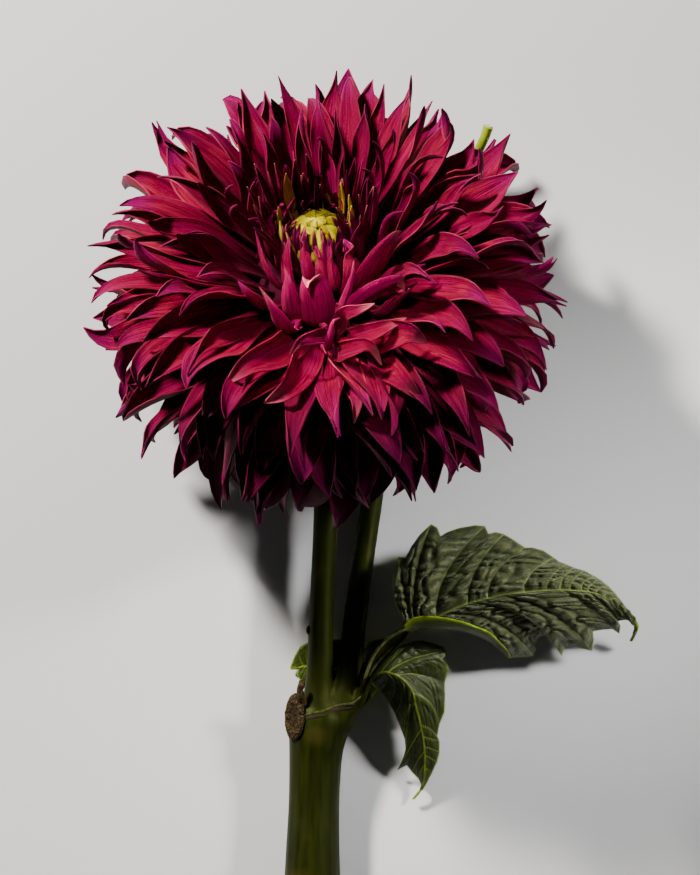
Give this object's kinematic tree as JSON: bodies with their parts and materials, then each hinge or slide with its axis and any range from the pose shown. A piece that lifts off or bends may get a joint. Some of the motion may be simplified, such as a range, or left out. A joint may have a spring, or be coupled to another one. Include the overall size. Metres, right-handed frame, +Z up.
{
  "type": "dahlia flower",
  "caption": "Cut decorative dahlia lying on a surface: a dense crimson bloom of pointed petals on a green stem with a side shoot and a toothed compound leaf.",
  "frame": {"origin": "on the surface that the flower lies on, under the middle of its length and width", "axes": "+Y from the cut end of the stem to the bloom, +X to the side of the leaf, +Z up from the surface"},
  "size_m": [0.2016, 0.3124, 0.1391],
  "materials": {
    "stem_green": "satin",
    "calyx_green": "satin",
    "petal_crimson": "matte",
    "button_yellow": "satin",
    "leaf_green": "satin"
  },
  "bodies": {
    "root": {"stem": "stem_green", "calyx": "calyx_green", "bloom_petals": "petal_crimson", "bloom_centre": "button_yellow", "petiole": "stem_green", "leaflet_terminal": "leaf_green", "leaflet_front": "leaf_green", "leaflet_back": "leaf_green"}
  },
  "joints": []
}
